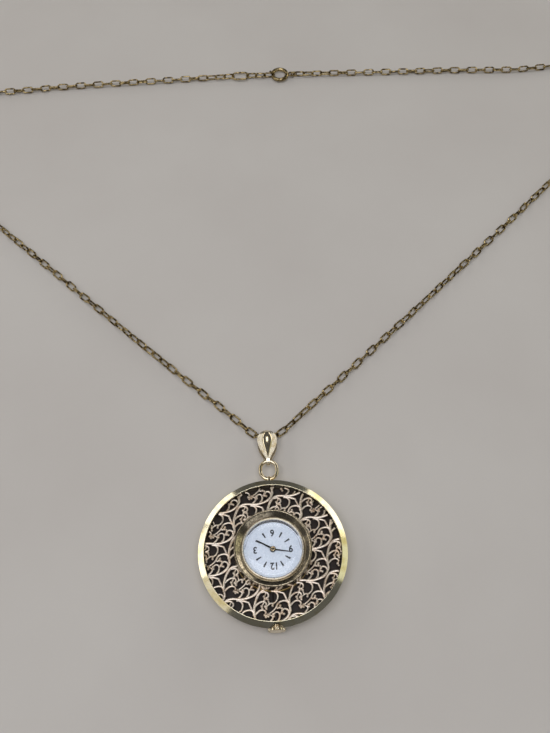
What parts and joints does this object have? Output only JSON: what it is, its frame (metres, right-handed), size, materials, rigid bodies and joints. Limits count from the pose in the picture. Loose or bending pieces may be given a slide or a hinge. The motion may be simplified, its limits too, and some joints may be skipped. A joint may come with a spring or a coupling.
{
  "type": "pendant watch",
  "caption": "Round pendant watch in an openwork scroll case, with a folded bail on a fixed loop, a crown at the lower edge and a long cable chain with a spring ring clasp.",
  "frame": {"origin": "centre of the flat case back, where the watch axis meets the surface it lies on", "axes": "+Z out of the dial, +Y to the loop and the bail, -Y to the crown, +X to the right seen from the front with the loop up"},
  "size_m": [0.2422, 0.1848, 0.0088],
  "materials": {
    "gilt_case": "polished gilt plate",
    "gilt_filigree": "satin pinkish gilt plate",
    "gilt_bail": "polished pale gilt plate",
    "gilt_chain": "antique gilt plate",
    "gilt_crown": "polished gilt plate",
    "dark_pan": "dark brown lacquer",
    "crystal": "clear polished",
    "dial": "silvery white",
    "hands": "gloss black",
    "movement_brass": "satin",
    "movement_steel": "polished"
  },
  "bodies": {
    "case": {"case_rim": "gilt_case", "case_back": "gilt_case", "backing_pan": "dark_pan", "centre_case": "movement_brass", "filigree": "gilt_filigree", "bezel": "gilt_case", "crystal": "crystal", "stem_tube": "movement_brass", "case_loop": "gilt_case", "dial": "dial", "main_plate": "movement_brass", "back_plate": "movement_brass", "pillars": "movement_brass", "plate_screws": "movement_steel", "balance_cock": "movement_brass", "crown_wheel_screw": "movement_steel", "click_screw": "movement_steel", "hairspring": "movement_steel"},
    "minute": {"cannon_pinion": "movement_steel", "minute_hand": "hands"},
    "minute_wheel": {"minute_wheel": "movement_brass"},
    "hour": {"hour_wheel": "movement_brass", "hour_hand": "hands"},
    "fourth": {"fourth_wheel": "movement_brass"},
    "third": {"third_wheel": "movement_brass"},
    "centre": {"centre_wheel": "movement_brass"},
    "barrel": {"barrel": "movement_brass"},
    "escape": {"escape_wheel": "movement_brass"},
    "winding": {"winding_pinion": "movement_steel", "sliding_pinion": "movement_steel"},
    "crown": {"winding_stem": "movement_steel", "crown": "gilt_crown"},
    "crown_wheel": {"crown_wheel": "movement_steel"},
    "ratchet": {"ratchet_wheel": "movement_steel", "barrel_arbor": "movement_steel"},
    "balance": {"balance_wheel": "movement_brass"},
    "pallets": {"pallet_fork": "movement_steel"},
    "click": {"click": "movement_steel"},
    "bail": {"bail": "gilt_bail"},
    "chain": {"chain_left": "gilt_chain", "chain_right": "gilt_chain", "end_ring": "gilt_chain", "tail_links": "gilt_chain", "clasp_ring": "gilt_chain", "jump_ring": "gilt_chain"},
    "trigger": {"clasp_trigger": "gilt_chain"}
  },
  "joints": [
    {"name": "minute_turn", "type": "hinge", "parent": "case", "child": "minute", "pos_m": [0, 0, 0.006], "axis": [0, 0, -1], "continuous": true},
    {"name": "minute_wheel_turn", "type": "hinge", "parent": "case", "child": "minute_wheel", "pos_m": [0.002, 0, 0.0052], "axis": [0, 0, -1], "continuous": true},
    {"name": "hour_turn", "type": "hinge", "parent": "case", "child": "hour", "pos_m": [0, 0, 0.006], "axis": [0, 0, -1], "continuous": true},
    {"name": "fourth_turn", "type": "hinge", "parent": "case", "child": "fourth", "pos_m": [0.00367, 0.00169, 0.003], "axis": [0, 0, -1], "continuous": true},
    {"name": "third_turn", "type": "hinge", "parent": "case", "child": "third", "pos_m": [0.00144, 0.0025, 0.003], "axis": [0, 0, -1], "continuous": true},
    {"name": "centre_turn", "type": "hinge", "parent": "case", "child": "centre", "pos_m": [0, 0, 0.003], "axis": [0, 0, -1], "continuous": true},
    {"name": "barrel_turn", "type": "hinge", "parent": "case", "child": "barrel", "pos_m": [-0.00329, -0.0012, 0.003], "axis": [0, 0, -1], "continuous": true},
    {"name": "escape_turn", "type": "hinge", "parent": "case", "child": "escape", "pos_m": [0.00418, -0.00021, 0.003], "axis": [0, 0, -1], "continuous": true},
    {"name": "crown_wind", "type": "hinge", "parent": "case", "child": "winding", "pos_m": [0, -0.0067, 0.00315], "axis": [0, -1, 0], "continuous": true},
    {"name": "crown_pull", "type": "slide", "parent": "winding", "child": "crown", "axis": [0, -1, 0], "range_m": [0, 0.0006]},
    {"name": "crown_wheel_turn", "type": "hinge", "parent": "case", "child": "crown_wheel", "pos_m": [0, -0.0046, 0.0015], "axis": [0, 0, 1], "continuous": true},
    {"name": "ratchet_turn", "type": "hinge", "parent": "case", "child": "ratchet", "pos_m": [-0.00329, -0.0012, 0.0015], "axis": [0, 0, 1], "continuous": true},
    {"name": "balance_swing", "type": "hinge", "parent": "case", "child": "balance", "pos_m": [0.0034, -0.00395, 0.0026], "axis": [0, 0, 1], "range_deg": [-140, 140]},
    {"name": "pallet_rock", "type": "hinge", "parent": "case", "child": "pallets", "pos_m": [0.00387, -0.00173, 0.003], "axis": [0, 0, 1], "range_deg": [-5, 5]},
    {"name": "click_lift", "type": "hinge", "parent": "case", "child": "click", "pos_m": [-0.00627, -0.00259, 0.0015], "axis": [0, 0, -1], "range_deg": [0, 8]},
    {"name": "bail_swing", "type": "hinge", "parent": "case", "child": "bail", "pos_m": [0, 0.02384, 0.003], "axis": [1, 0, 0], "range_deg": [0, 140]},
    {"name": "chain_level", "type": "hinge", "parent": "bail", "child": "chain", "pos_m": [0, 0.03109, 0.0018], "axis": [1, 0, 0], "range_deg": [-140, 0]},
    {"name": "trigger_slide", "type": "hinge", "parent": "chain", "child": "trigger", "pos_m": [0.01064, 0.1634, 0.0011], "axis": [0, 0, -1], "range_deg": [0, 32], "stiffness_Nm_per_rad": 0.0005}
  ],
  "couplings": [
    {"joint": "minute_wheel_turn", "follows": "minute_turn", "ratio": -0.33333},
    {"joint": "hour_turn", "follows": "minute_turn", "ratio": 0.083333},
    {"joint": "third_turn", "follows": "fourth_turn", "ratio": -0.13333},
    {"joint": "centre_turn", "follows": "fourth_turn", "ratio": 0.016667},
    {"joint": "barrel_turn", "follows": "fourth_turn", "ratio": -0.0027778},
    {"joint": "escape_turn", "follows": "fourth_turn", "ratio": -8},
    {"joint": "crown_wheel_turn", "follows": "crown_wind", "ratio": 0.58333},
    {"joint": "ratchet_turn", "follows": "crown_wind", "ratio": -0.53846},
    {"joint": "bail_swing", "follows": "chain_level", "ratio": -1}
  ]
}
